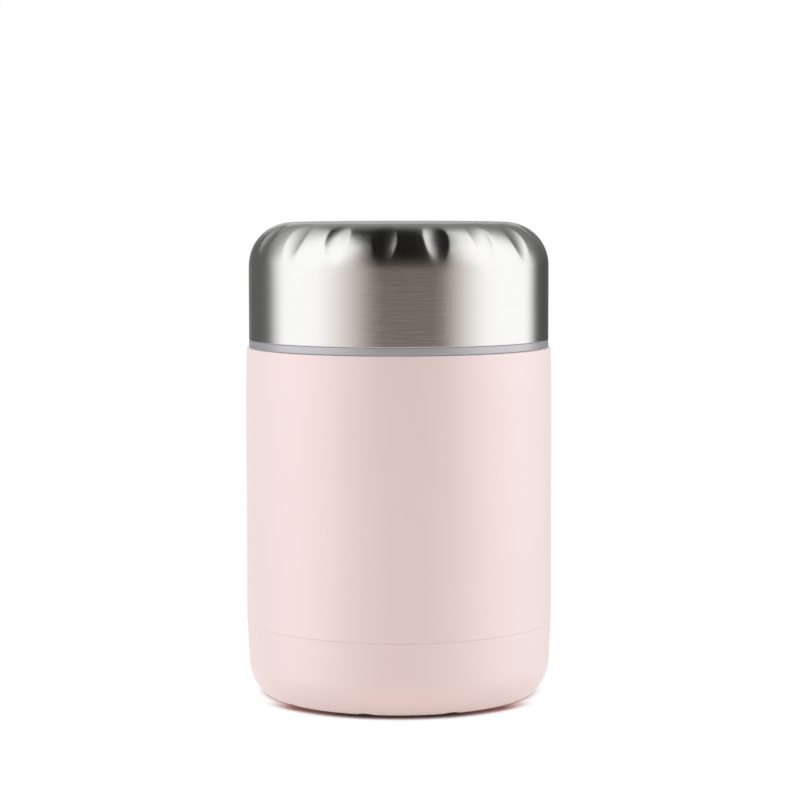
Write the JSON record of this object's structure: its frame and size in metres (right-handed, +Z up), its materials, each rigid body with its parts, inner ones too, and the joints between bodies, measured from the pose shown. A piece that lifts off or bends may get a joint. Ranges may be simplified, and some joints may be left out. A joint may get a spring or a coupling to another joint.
{
  "type": "insulated food jar",
  "caption": "Vacuum-insulated food jar with a powder-coated steel body and a fluted, brushed steel screw lid over a grey threaded liner.",
  "frame": {"origin": "centre of the base, on the surface that the jar stands on", "axes": "+Z up along the jar's axis and the lid's screw axis, +X and +Y level"},
  "size_m": [0.092, 0.092, 0.1417],
  "materials": {
    "powder_coat": "matte",
    "base_steel": "satin",
    "cap_steel": "satin",
    "pot_steel": "satin",
    "liner_plastic": "satin",
    "plug_plastic": "satin",
    "silicone": "matte",
    "foam": "matte",
    "adhesive": "gloss",
    "foil": "polished",
    "solder": "satin",
    "getter": "matte"
  },
  "bodies": {
    "jar": {"outer_shell": "powder_coat", "base_cup": "powder_coat", "base_cover": "base_steel", "vacuum_seal": "solder", "getter_clip": "pot_steel", "getter_pellet": "getter", "inner_pot": "pot_steel", "foil_wrap": "foil", "foil_disc": "foil"},
    "gasket": {"lid_gasket": "silicone"},
    "lid": {"lid_cap": "cap_steel", "lid_liner": "liner_plastic", "lid_adhesive": "adhesive", "lid_foam": "foam", "plug_cup": "plug_plastic", "plug_foam": "foam"}
  },
  "joints": [
    {"name": "lid_rise", "type": "slide", "parent": "jar", "child": "gasket", "axis": [0, 0, 1], "range_m": [0, 0.032]},
    {"name": "lid_turn", "type": "hinge", "parent": "gasket", "child": "lid", "pos_m": [0, 0, 0.1066], "axis": [0, 0, 1], "range_deg": [0, 1440]}
  ],
  "couplings": [
    {"joint": "lid_rise", "follows": "lid_turn", "m_per_rad": 0.0012732}
  ]
}
